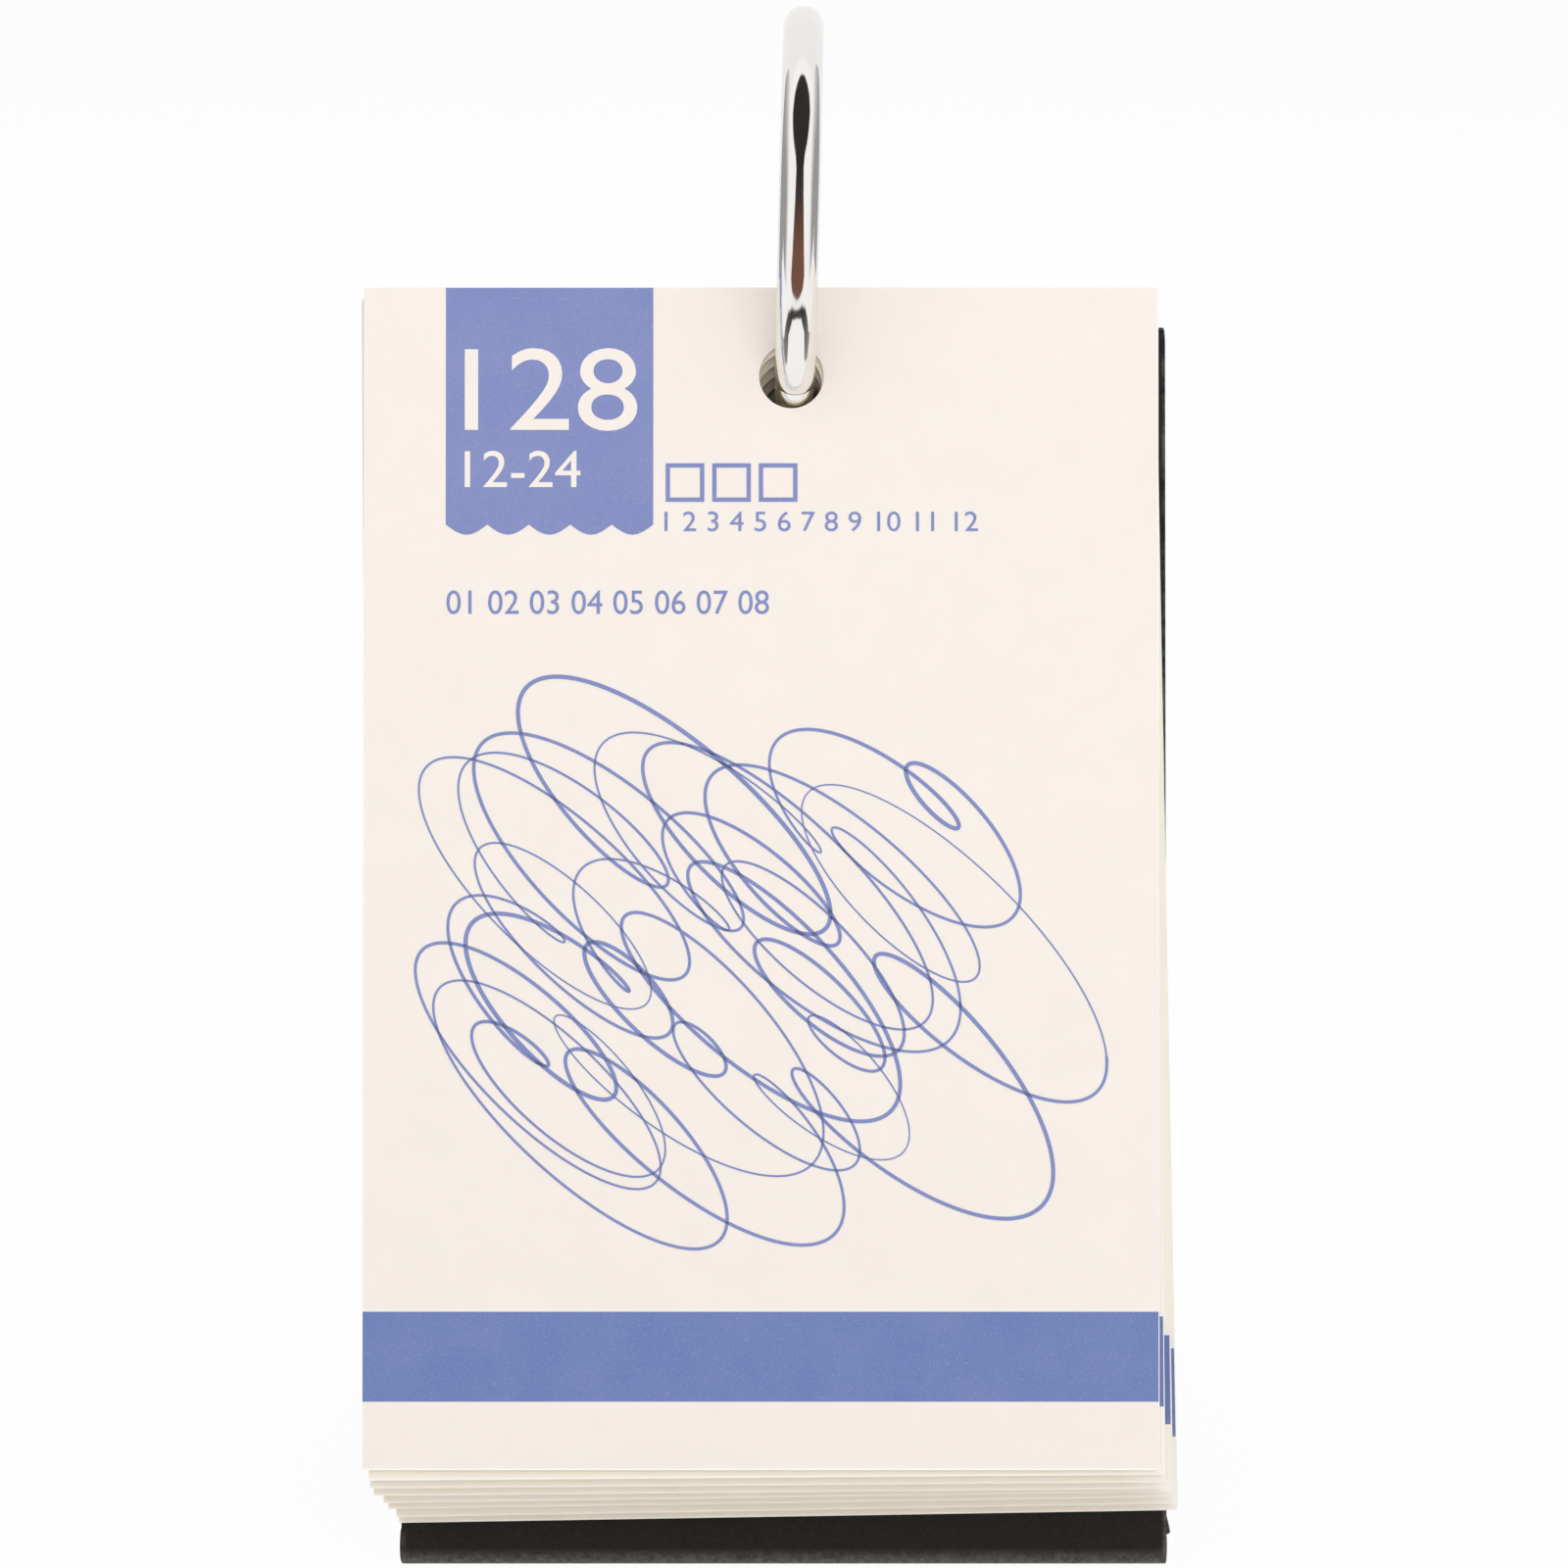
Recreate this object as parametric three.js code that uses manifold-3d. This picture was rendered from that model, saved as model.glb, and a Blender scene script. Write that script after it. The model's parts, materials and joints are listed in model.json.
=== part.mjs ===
// Desk calendar: a pad of loose leaves on a hinged book ring, hung over a folding board stand.
// Millimetres, +Z up, the leaves face -Y, the origin lies in the middle of the stand's underside.
import * as THREE from "three";
import { mergeVertices } from "three/addons/utils/BufferGeometryUtils.js";
import Module from "manifold-3d";

const wasm = await Module();
wasm.setup();

// Leaves: a front leaf and seven bundles, front to back, all with the same hole.
const leafWidth = 70;
const leafHeight = 104;
const leafThickness = 0.27;
const leafGap = 0.05;
const bundleGap = 0.15;
const padGap = 0.3;
const leafHoleClearance = 1.05;
const leafHoleDrop = 7.8;
const leafHoleOffCentre = 2.67;
const padShift = -0.21;
const leavesPerBundle = [1, 3, 4, 5, 6, 6, 6, 6];
const bundleLift = [0.3, 0.04, 0.2, 0.46, 0.82, 0.95, 0.64, 0.17];
const bundleShift = [0, -0.18, -0.2, -0.12, 0.15, 0.3, 0.6, 0.8];
const bundleTurnDegrees = [0, 0.42, 0.45, 0.52, 0.81, 0.86, 1.01, 0.94];

// Stand: three boards joined by two rounded folds.
const standWidth = 69.2;
const standBelowPad = 8.25;
const boardThickness = 1.6;
const foldInset = 0.15;
const foldGap = 0.3;
const leanDegrees = 15;
const panelHoleClearance = 1.7;
const panelHoleDrop = 9.45;
const cornerCut = 0.6;
const tabWidth = 24;
const tabLength = 1.5;
const tabFrontGap = 1.4;
const tabRearGap = 0.4;
const tabSideGap = 0.5;
const baseRearMargin = 4.5;

// Book ring: two half rings, a rivet hinge and a push-in clasp.
const wireDiameter = 3.6;
const ringRoom = 4.55;
const ringX = 0.86;
const ringRollDegrees = 1.4;
const hangGap = 0.15;
const ringSeatGap = 0.26;
const claspDegrees = 50;
const claspGap = 0.2;
const tongueDiameter = 1.8;
const tongueLength = 1.6;
const tongueClearance = 0.3;
const hingeTabWidth = 1.2;
const hingeEarWidth = 0.85;
const hingeSideGap = 0.15;
const hingeRunningGap = 0.8;
const rivetDiameter = 1.2;
const rivetHeadDiameter = 2;
const rivetHeadHeight = 0.25;
const rivetClearance = 0.08;

// Fineness of the round shapes.
const wireSides = 16;
const halfRingSteps = 28;
const holeSegments = 40;
const foldSegments = 12;

const radians = THREE.MathUtils.degToRad;
const lean = radians(leanDegrees);
const foldRadius = boardThickness + foldInset;
const foldSpan = leafHeight + standBelowPad - 2 * foldRadius;
const boardStart = foldRadius + foldGap;
const wireRadius = wireDiameter / 2;
const leafHoleRadius = wireRadius + leafHoleClearance;
const panelHoleRadius = wireRadius + panelHoleClearance;
const panelHoleZ = foldRadius - panelHoleDrop;

// The pad's thickness sets the ring's size: the ring clears the front leaf by the ring's room.
const bundleThickness = leavesPerBundle.map((count) => count * (leafThickness + leafGap) - leafGap);
const padThickness = bundleThickness.reduce((sum, thickness) => sum + thickness + bundleGap, -bundleGap);
const padRear = -foldRadius - padGap;
const ringInnerRadius = padThickness + ringRoom;
const ringRadius = ringInnerRadius + wireRadius;

// The ring's foot rests near the bottom edge of the front board's hole.
const ringSeat = panelHoleRadius - wireRadius - ringSeatGap;
const ringDrop = Math.sqrt(ringSeat ** 2 - ringX ** 2);
const ringHeight = foldSpan + panelHoleZ - ringDrop + ringRadius;
const roll = radians(ringRollDegrees);
const clasp = radians(claspDegrees);
const halfClaspAngle = claspGap / 2 / ringRadius;
const hinge = clasp + Math.PI;
const hingeY = -ringRadius * Math.cos(hinge);
const hingeZ = -ringRadius * Math.sin(hinge);
const hingeWidth = hingeTabWidth + 2 * hingeSideGap + 2 * hingeEarWidth;
const hingeRelief = wireRadius + hingeRunningGap;
const eyeAngle = (1.2 * wireRadius) / ringRadius;

// Where the ring's wire crosses the rear board, measured down that board from the apex fold.
const ringAboveApex = ringHeight - foldSpan;
const boardAngle = 2 * lean;
const centreAlong = padRear * Math.sin(boardAngle) - ringAboveApex * Math.cos(boardAngle);
const centreAcross = padRear * Math.cos(boardAngle) + ringAboveApex * Math.sin(boardAngle);
const acrossBoard = foldInset + boardThickness / 2 - centreAcross;
const rearCrossing = centreAlong + Math.sqrt(ringRadius ** 2 - acrossBoard ** 2);

// The apex fold's axis and the rear board's foot, seen from the bottom fold's axis.
const apexY = foldSpan * Math.sin(lean);
const apexZ = foldSpan * Math.cos(lean);
const baseTop = boardThickness - foldRadius;
const rearLength = (apexZ + foldInset * Math.sin(lean) - baseTop - foldGap) / Math.cos(lean);
const footY = apexY + foldInset * Math.cos(lean) + rearLength * Math.sin(lean);
const tabDepth = boardThickness * Math.cos(lean) + tabLength * Math.sin(lean);
const slotFront = footY - tabFrontGap;
const slotRear = footY + tabDepth + tabRearGap;
const baseRear = slotRear + baseRearMargin;
const baseMiddle = (baseRear - foldRadius) / 2;

const card = new THREE.MeshStandardMaterial({ color: 0xf7f1e7, roughness: 0.85, metalness: 0 });
const board = new THREE.MeshStandardMaterial({ color: 0x2d2c2a, roughness: 0.7, metalness: 0 });
const nickel = new THREE.MeshStandardMaterial({ color: 0xd6d4d2, roughness: 0.12, metalness: 1 });

// Joining and cutting closed shapes.
function solid(geometry) {
  const bare = geometry.clone();
  bare.deleteAttribute("normal");
  bare.deleteAttribute("uv");
  const merged = mergeVertices(bare, 1e-4);
  const vertProperties = merged.attributes.position.array;
  const triVerts = new Uint32Array(merged.index.array);
  return new wasm.Manifold(new wasm.Mesh({ numProp: 3, vertProperties, triVerts }));
}

function geometryOf(manifold) {
  const mesh = manifold.getMesh();
  const geometry = new THREE.BufferGeometry();
  geometry.setAttribute("position", new THREE.BufferAttribute(mesh.vertProperties, 3));
  geometry.setIndex(new THREE.BufferAttribute(mesh.triVerts, 1));
  return geometry;
}

// A round bar along X, centred on the Y and Z given.
function barAlongX(radius, length, y, z) {
  const bar = new THREE.CylinderGeometry(radius, radius, length, wireSides);
  return bar.rotateZ(Math.PI / 2).translate(0, y, z);
}

// A flat sheet in the XZ plane, its front face on y = front.
function sheet(shape, thickness, front) {
  const options = { depth: thickness, bevelEnabled: false, curveSegments: holeSegments / 2 };
  const geometry = new THREE.ExtrudeGeometry(shape, options);
  return geometry.rotateX(Math.PI / 2).translate(0, front + thickness, 0);
}

function roundHole(shape, x, z, radius) {
  shape.holes.push(new THREE.Path().absarc(x, z, radius, 0, 2 * Math.PI, true));
}

// The front board in side view: a straight board with a round fold at each end.
function frontBoardProfile() {
  const meetAngle = Math.acos(-foldInset / foldRadius);
  const profile = new THREE.Shape();
  profile.moveTo(-foldRadius, foldSpan);
  profile.lineTo(-foldRadius, 0);
  profile.absarc(0, 0, foldRadius, Math.PI, 2 * Math.PI + meetAngle, false);
  profile.absarc(0, foldSpan, foldRadius, -meetAngle, Math.PI, false);
  return profile;
}

function frontPanel() {
  const options = { depth: standWidth, bevelEnabled: false, curveSegments: foldSegments };
  const toSideView = new THREE.Matrix4().makeBasis(
    new THREE.Vector3(0, 1, 0),
    new THREE.Vector3(0, 0, 1),
    new THREE.Vector3(1, 0, 0),
  );
  const body = new THREE.ExtrudeGeometry(frontBoardProfile(), options);
  body.applyMatrix4(toSideView).translate(-standWidth / 2, 0, 0);
  const drillLength = 4 * foldRadius;
  const drill = new THREE.CylinderGeometry(panelHoleRadius, panelHoleRadius, drillLength, holeSegments);
  drill.translate(0, 0, foldSpan + panelHoleZ);
  return geometryOf(solid(body).subtract(solid(drill)));
}

// The rear board hangs from the apex fold; its tab stands in the base's slot.
function rearPanel() {
  const half = standWidth / 2;
  const halfTab = tabWidth / 2;
  const outline = new THREE.Shape();
  outline.moveTo(-half, -boardStart);
  outline.lineTo(-half, -rearLength + cornerCut);
  outline.lineTo(-half + cornerCut, -rearLength);
  outline.lineTo(-halfTab, -rearLength);
  outline.lineTo(-halfTab, -rearLength - tabLength);
  outline.lineTo(halfTab, -rearLength - tabLength);
  outline.lineTo(halfTab, -rearLength);
  outline.lineTo(half - cornerCut, -rearLength);
  outline.lineTo(half, -rearLength + cornerCut);
  outline.lineTo(half, -boardStart);
  outline.closePath();
  roundHole(outline, 0, ringDrop - rearCrossing, panelHoleRadius);
  return sheet(outline, boardThickness, foldInset);
}

// The base board lies flat behind the bottom fold, with a slot for the rear board's tab.
function basePanel() {
  const half = standWidth / 2;
  const halfSlot = tabWidth / 2 + tabSideGap;
  const outline = new THREE.Shape();
  outline.moveTo(-half, boardStart);
  outline.lineTo(half, boardStart);
  outline.lineTo(half, baseRear - cornerCut);
  outline.lineTo(half - cornerCut, baseRear);
  outline.lineTo(-half + cornerCut, baseRear);
  outline.lineTo(-half, baseRear - cornerCut);
  outline.closePath();
  const slot = new THREE.Path();
  slot.moveTo(-halfSlot, slotFront);
  slot.lineTo(-halfSlot, slotRear);
  slot.lineTo(halfSlot, slotRear);
  slot.lineTo(halfSlot, slotFront);
  slot.closePath();
  outline.holes.push(slot);
  const options = { depth: boardThickness, bevelEnabled: false };
  return new THREE.ExtrudeGeometry(outline, options).translate(0, 0, -foldRadius);
}

// A leaf hangs from the middle of its hole, which lies to the right of the leaf's centre line.
function leafShape() {
  const left = -leafWidth / 2 - leafHoleOffCentre;
  const right = leafWidth / 2 - leafHoleOffCentre;
  const outline = new THREE.Shape();
  outline.moveTo(left, leafHoleDrop - leafHeight);
  outline.lineTo(right, leafHoleDrop - leafHeight);
  outline.lineTo(right, leafHoleDrop);
  outline.lineTo(left, leafHoleDrop);
  outline.closePath();
  roundHole(outline, 0, 0, leafHoleRadius);
  return outline;
}

// An arc of the ring's wire, from one angle to another, both measured down from the front.
class RingArc extends THREE.Curve {
  constructor(from, to) {
    super();
    this.from = from;
    this.to = to;
  }
  getPoint(t) {
    const angle = this.from + (this.to - this.from) * t;
    return new THREE.Vector3(0, -ringRadius * Math.cos(angle), -ringRadius * Math.sin(angle));
  }
}

function wireArc(from, to, radius = wireRadius) {
  const section = new THREE.Shape().absarc(0, 0, radius, 0, 2 * Math.PI, false);
  const options = {
    steps: Math.round((halfRingSteps * (to - from)) / Math.PI),
    bevelEnabled: false,
    curveSegments: wireSides / 2,
    extrudePath: new RingArc(from, to),
  };
  return solid(new THREE.ExtrudeGeometry(section, options));
}

// A round-tipped pin along the wire, from the seam where the two halves meet at the clasp.
function claspPin(diameter, length) {
  const tipRadius = tongueDiameter / 2;
  const profile = [new THREE.Vector2(0, -claspGap), new THREE.Vector2(diameter / 2, -claspGap)];
  const tipSteps = 4;
  for (let i = 0; i <= tipSteps; i++) {
    const angle = (i / tipSteps) * (Math.PI / 2);
    const radius = diameter / 2 - tipRadius * (1 - Math.cos(angle));
    profile.push(new THREE.Vector2(radius, length - tipRadius * (1 - Math.sin(angle))));
  }
  profile.push(new THREE.Vector2(0, length));
  const pin = new THREE.LatheGeometry(profile, wireSides);
  pin.rotateX(clasp - Math.PI / 2);
  return solid(pin.translate(0, -ringRadius * Math.cos(clasp), -ringRadius * Math.sin(clasp)));
}

// A round body about the hinge's axis, as long as the length given.
function aroundHinge(radius, length) {
  return solid(barAlongX(radius, length, hingeY, hingeZ));
}

// Everything within a width across the wire's middle.
function middleSlab(width) {
  return solid(new THREE.BoxGeometry(width, 4 * ringRadius, 4 * ringRadius));
}

function rivetHole() {
  return aroundHinge(rivetDiameter / 2 + rivetClearance, 2 * wireDiameter);
}

// Wire that runs past the hinge's axis is rounded off about it.
function roundedAtHinge(wire, kept) {
  return wire.intersect(aroundHinge(wireRadius, 2 * wireDiameter).add(kept));
}

// The lower half ends in a fork with flat cheeks at the hinge and a socket at the clasp.
function lowerHalfRing() {
  const wire = wireArc(clasp + halfClaspAngle, hinge + eyeAngle);
  const rounded = roundedAtHinge(wire, wireArc(clasp, hinge, wireDiameter));
  const cheeks = aroundHinge(hingeRelief, 2 * wireDiameter).subtract(middleSlab(hingeWidth));
  const slot = aroundHinge(hingeRelief, hingeTabWidth + 2 * hingeSideGap);
  const socketDiameter = tongueDiameter + 2 * tongueClearance;
  const socket = claspPin(socketDiameter, tongueLength + tongueClearance);
  return geometryOf(rounded.subtract(cheeks).subtract(slot).subtract(socket).subtract(rivetHole()));
}

// The upper half ends in a tab at the hinge and a tongue at the clasp.
function upperHalfRing() {
  const claspEnd = clasp + 2 * Math.PI;
  const wire = wireArc(hinge - eyeAngle, claspEnd - halfClaspAngle);
  const rounded = roundedAtHinge(wire, wireArc(hinge, claspEnd, wireDiameter));
  const besideTab = aroundHinge(hingeRelief, 2 * wireDiameter).subtract(middleSlab(hingeTabWidth));
  const tongue = claspPin(tongueDiameter, tongueLength);
  return geometryOf(rounded.subtract(besideTab).add(tongue).subtract(rivetHole()));
}

function hingeRivet() {
  const halfSpan = hingeWidth / 2 + rivetClearance;
  const profile = [
    new THREE.Vector2(0, -halfSpan - rivetHeadHeight),
    new THREE.Vector2(rivetHeadDiameter / 3, -halfSpan - rivetHeadHeight),
    new THREE.Vector2(rivetHeadDiameter / 2, -halfSpan),
    new THREE.Vector2(rivetDiameter / 2, -halfSpan),
    new THREE.Vector2(rivetDiameter / 2, halfSpan),
    new THREE.Vector2(rivetHeadDiameter / 2, halfSpan),
    new THREE.Vector2(rivetHeadDiameter / 3, halfSpan + rivetHeadHeight),
    new THREE.Vector2(0, halfSpan + rivetHeadHeight),
  ];
  const rivet = new THREE.LatheGeometry(profile, wireSides);
  return rivet.rotateZ(Math.PI / 2).translate(0, hingeY, hingeZ);
}

// The assembly: everything that leans with the front board hangs in one leaning group.
const calendar = new THREE.Group();

function place(name, geometry, material, parent) {
  const mesh = new THREE.Mesh(geometry, material.clone());
  mesh.name = name;
  parent.add(mesh);
  return mesh;
}

const bottomFold = new THREE.Group();
bottomFold.position.set(0, -baseMiddle, foldRadius);
calendar.add(bottomFold);

const leaning = new THREE.Group();
leaning.rotation.x = -lean;
bottomFold.add(leaning);

const apexFold = new THREE.Group();
apexFold.position.set(0, apexY, apexZ);
apexFold.rotation.x = lean;
bottomFold.add(apexFold);

place("front_panel", frontPanel(), board, leaning);
place("rear_panel", rearPanel(), board, apexFold);
place("base_panel", basePanel(), board, bottomFold);

// The ring rolls about its foot, its top to the right.
const ring = new THREE.Group();
ring.position.set(ringX + ringRadius * Math.sin(roll), padRear, ringHeight);
ring.rotation.y = roll;
leaning.add(ring);
place("ring_lower_half", lowerHalfRing(), nickel, ring);
place("ring_upper_half", upperHalfRing(), nickel, ring);
place("ring_hinge_rivet", hingeRivet(), nickel, ring);

// Each bundle hangs by its holes on the sloping wire, raised, moved across and turned a little.
let leafY = padRear - padThickness;
let leafNumber = 1;
leavesPerBundle.forEach((count, bundle) => {
  const fromCentre = padRear - leafY;
  const wireTop = ringHeight - Math.sqrt(ringInnerRadius ** 2 - fromCentre ** 2);
  const hung = new THREE.Group();
  hung.position.x = ringX + padShift + bundleShift[bundle];
  hung.position.z = wireTop + hangGap - leafHoleRadius + bundleLift[bundle];
  hung.rotation.y = -radians(bundleTurnDegrees[bundle]);
  leaning.add(hung);
  for (let i = 0; i < count; i++) {
    const name = `leaf_${String(leafNumber).padStart(2, "0")}`;
    place(name, sheet(leafShape(), leafThickness, leafY), card, hung);
    leafY += leafThickness + leafGap;
    leafNumber += 1;
  }
  leafY += bundleGap - leafGap;
});

export default calendar;
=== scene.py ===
# Looks for the desk calendar: print, paper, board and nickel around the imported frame.
import json
import math

import bmesh
import bpy
from mathutils import Matrix, Vector


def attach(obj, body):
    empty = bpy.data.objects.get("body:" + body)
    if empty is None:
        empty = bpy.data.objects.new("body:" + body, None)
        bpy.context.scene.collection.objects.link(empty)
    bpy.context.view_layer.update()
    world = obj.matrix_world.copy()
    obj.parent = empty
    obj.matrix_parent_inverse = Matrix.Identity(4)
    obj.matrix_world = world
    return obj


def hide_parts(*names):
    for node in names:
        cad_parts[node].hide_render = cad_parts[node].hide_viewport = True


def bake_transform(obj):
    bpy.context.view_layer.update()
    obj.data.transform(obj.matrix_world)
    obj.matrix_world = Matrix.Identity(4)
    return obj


MM = 0.001

# Camera, in millimetres and degrees.
CAMERA_DISTANCE = 420
CAMERA_ELEVATION = 14.1
CAMERA_FOCAL = 109.6
VIEW_CENTRE_LEFT_OF_HOLE = 0.65
VIEW_CENTRE_BELOW_HOLE = 35.95

# Leaves and their print, in millimetres right and down from a leaf's top left corner.
LEAF_HOLE_RIGHT = 37.67
LEAF_HOLE_DOWN = 7.8
SHEET_PITCH = 0.09
# Where a painted highlight along each leaf's bottom and right rims begins.
PAINTED_HIGHLIGHT_TOP = 103.84
PAINTED_HIGHLIGHT_LEFT = 69.92
# Across the leaves behind the front one, painted light fades in over this span towards their right side.
PAINTED_SIDE_LIGHT = (66, 69)
BAND_TOP = 90.1
BAND_BOTTOM = 98.0
BLOCK_LEFT = 7.24
BLOCK_RIGHT = 25.5
BLOCK_TOP = 0.02
BLOCK_BOTTOM = 20.9
SCALLOPS = 5
SCALLOP_DEPTH = 0.9
LINE_LEFT = 4.6
LINE_RIGHT = 65.4
LINE_TOP = 34.3
LINE_BOTTOM = 84.6
LINE_FIRST_PHASE = 0.9
LINE_PHASE_STEP = 0.7
BOX_COUNT = 3
BOX_LEFT = 26.6
BOX_TOP = 15.5
BOX_STEP = 4.1
BOX_SIZE = 3.4
BOX_LINE = 0.38
PRINT_LIFT = 0.012
PRINT_THICKNESS = 0.02

# Numbers on a leaf: height, left, top and width, in the same millimetres.
FIRST_NUMBER = 128
DAY_NUMBER_PLACE = (7.3, 8.9, 5.35, 15.2)
BLOCK_DATES = "12-24"
BLOCK_DATES_PLACE = (3.2, 8.9, 14.4, 10.2)
UPPER_ROW = "1 2 3 4 5 6 7 8 9 10 11 12"
UPPER_ROW_PLACE = (1.75, 26.5, 19.75, 27.6)
LOWER_ROW = "01 02 03 04 05 06 07 08"
LOWER_ROW_PLACE = (2.1, 7.3, 26.7, 28.4)

# Ring, in millimetres: as in the part's source, save for the seam, its rounded rims and the hinge's eyes.
WIRE_RADIUS = 1.8
CLASP_DEGREES = 50
CLASP_GAP = 0.06
RIM_ROUNDING = (0.1, 0.02, 0.0)
TONGUE_RADIUS = 0.9
TONGUE_LENGTH = 1.6
TONGUE_CLEARANCE = 0.3
HINGE_TAB_WIDTH = 1.2
HINGE_SIDE_GAP = 0.15
HINGE_EAR_WIDTH = 0.85
HINGE_EYE_RADIUS = 1.78
HINGE_RELIEF = 2.6
CUTTER_REACH = 4
RIVET_RADIUS = 0.6
RIVET_HEAD_RADIUS = 1.0
RIVET_HEAD_HEIGHT = 0.25
RIVET_CLEARANCE = 0.08

# Stand, in millimetres and radians, as in the part's source, and the paper that wraps it.
STAND_WIDTH = 69.2
LEAN = math.radians(15)
FOLD_RADIUS = 1.75
CREASE_INSET = 0.05
WRAP_LIFT = 0.03
WRAP_THICKNESS = 0.1
GROUND_PLAY = 0.01
GROUND_STRIP_THICKNESS = 0.09

# Colours, as sRGB bytes.
WHITE = (255, 255, 255)
PAPER = (248, 240, 232)
# Painted shade: a warmer tone for the leaves behind the front one, standing for light bounced between the leaves.
SHADED_PAPER_BEHIND = (250, 242, 228)
# Painted highlight for the leaves' bottom and right rims, and the colour that the painted light fades to on the
# right of the leaves behind.
PAPER_PAINTED_HIGHLIGHT = (255, 252, 245)
PAPER_EDGE = (240, 226, 200)
SHEET_LINE = (196, 184, 164)
BAND_INK = (108, 128, 185)
BLOCK_INK = (127, 139, 195)
BOARD = (36, 34, 32)
BOARD_WORN = (150, 147, 141)
NICKEL = (246, 244, 241)
FLOOR = (240, 240, 239)
DARK_ROOM = (50, 48, 48)
BROWN_ROOM = (120, 84, 70)
GREY_ROOM = (160, 159, 158)
PALE_ROOM = (247, 246, 245)

# Shapes that the ring mirrors: rows of elevation, left and right in degrees, and distances in metres.
DARK_SHAPE = [
    (-23, -7, 7), (-20, -28, 28), (-14, -34, 34), (-1, -30, 30), (13, -26, 26),
    (27, -21, 21), (41, -18, 18), (48, -22, 22), (55, -29, 30), (62, -34, 35),
    (70, -37, 38), (80, -37, 39), (87, -28, 32), (92, -6, 8),
]
SIDE_SHAPE = [
    (-30, 56, 89), (14, 57, 89), (40, 55, 89), (65, 52, 89), (101, 45, 89),
    (129, 40, 89), (150, 42, 89), (178, 49, 89), (204, 57, 89), (230, 70, 89),
]
LOW_SHAPE = [
    (-27, 0, 24), (-31, 0, 34), (-33, 20, 40), (-46, 36, 50),
    (-54, 36, 53), (-64, 36, 55), (-77, 48, 60), (-95, 60, 66),
]
BACK_SHAPE = [(104, -87, 87), (125, -88, 88), (150, -88, 88), (180, -88, 88), (200, -88, 88)]
ROOM_DISTANCE = 0.28
BACK_DISTANCE = 0.31
LOW_DISTANCE = 0.16

# Lamps: name, place and size in metres, and watts.
LAMPS = [
    ("left", (-0.25, -0.3, 0.5), (0.6, 0.6), 1.0),
    ("right", (0.35, -0.3, 0.42), (0.6, 0.6), 0.65),
    ("fill", (0.25, -0.75, 0.22), (0.7, 0.6), 1.45),
    ("back", (0.1, 0.85, 0.7), (1.0, 0.6), 3.0),
]
LAMP_TARGET = (0, -0.01, 0.07)
WORLD_LIGHT = 0.5
FLOOR_SIZE = 6
FLOOR_WHITE_SHARE = 0.96

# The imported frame.
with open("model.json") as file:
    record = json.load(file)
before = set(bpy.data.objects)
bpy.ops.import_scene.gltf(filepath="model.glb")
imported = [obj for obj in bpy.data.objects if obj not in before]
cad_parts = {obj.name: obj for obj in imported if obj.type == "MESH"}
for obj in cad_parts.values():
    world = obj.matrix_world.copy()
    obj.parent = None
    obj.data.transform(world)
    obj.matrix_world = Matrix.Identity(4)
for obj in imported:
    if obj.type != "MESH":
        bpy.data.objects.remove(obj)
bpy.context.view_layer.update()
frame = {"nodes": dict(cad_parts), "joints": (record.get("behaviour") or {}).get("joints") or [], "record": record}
BODIES = frame["record"]["behaviour"]["bodies"]
JOINTS = {joint["name"]: joint for joint in frame["joints"]}
PAD_BODIES = ["front_leaf"] + [f"leaf_bundle_{i}" for i in range(1, 8)]
CLASP = math.radians(CLASP_DEGREES)
HINGE = CLASP + math.pi
RING_RADIUS = (Vector(JOINTS["ring_open"]["pos_m"]) - Vector(JOINTS["ring_turn"]["pos_m"])).length / MM


# Colours and meshes.
def linear(rgb):
    values = [c / 255 for c in rgb]
    values = [v / 12.92 if v <= 0.04045 else ((v + 0.055) / 1.055) ** 2.4 for v in values]
    return (*values, 1.0)


def shifted(rgb, step):
    return tuple(c + step for c in rgb)


def link_object(name, mesh):
    obj = bpy.data.objects.new(name, mesh)
    bpy.context.scene.collection.objects.link(obj)
    return obj


def mesh_object(name, verts, faces):
    mesh = bpy.data.meshes.new(name)
    mesh.from_pydata(verts, [], faces)
    mesh.validate()
    mesh.update()
    return link_object(name, mesh)


def tube_faces(rows, sides):
    """Faces that join rows of vertices to a tube, with a cap at each end."""
    faces = []
    for i in range(rows - 1):
        a, b = i * sides, (i + 1) * sides
        for k in range(sides):
            n = (k + 1) % sides
            faces.append((a + k, a + n, b + n, b + k))
    last = (rows - 1) * sides
    faces.append(tuple(reversed(range(sides))))
    faces.append(tuple(range(last, last + sides)))
    return faces


def paint(obj, material):
    obj.data.materials.clear()
    obj.data.materials.append(material)


def smooth(obj, degrees=35):
    obj.data.shade_smooth()
    obj.data.set_sharp_from_angle(angle=math.radians(degrees))


def face_outward(obj):
    bm = bmesh.new()
    bm.from_mesh(obj.data)
    bmesh.ops.recalc_face_normals(bm, faces=bm.faces)
    bm.to_mesh(obj.data)
    bm.free()


def apply_modifiers(obj):
    depsgraph = bpy.context.evaluated_depsgraph_get()
    finished = bpy.data.meshes.new_from_object(obj.evaluated_get(depsgraph))
    obj.modifiers.clear()
    obj.data = finished


def boolean(obj, cutter, operation):
    modifier = obj.modifiers.new("cut", "BOOLEAN")
    modifier.object = cutter
    modifier.operation = operation
    modifier.solver = "EXACT"
    apply_modifiers(obj)
    bpy.data.objects.remove(cutter)


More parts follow.
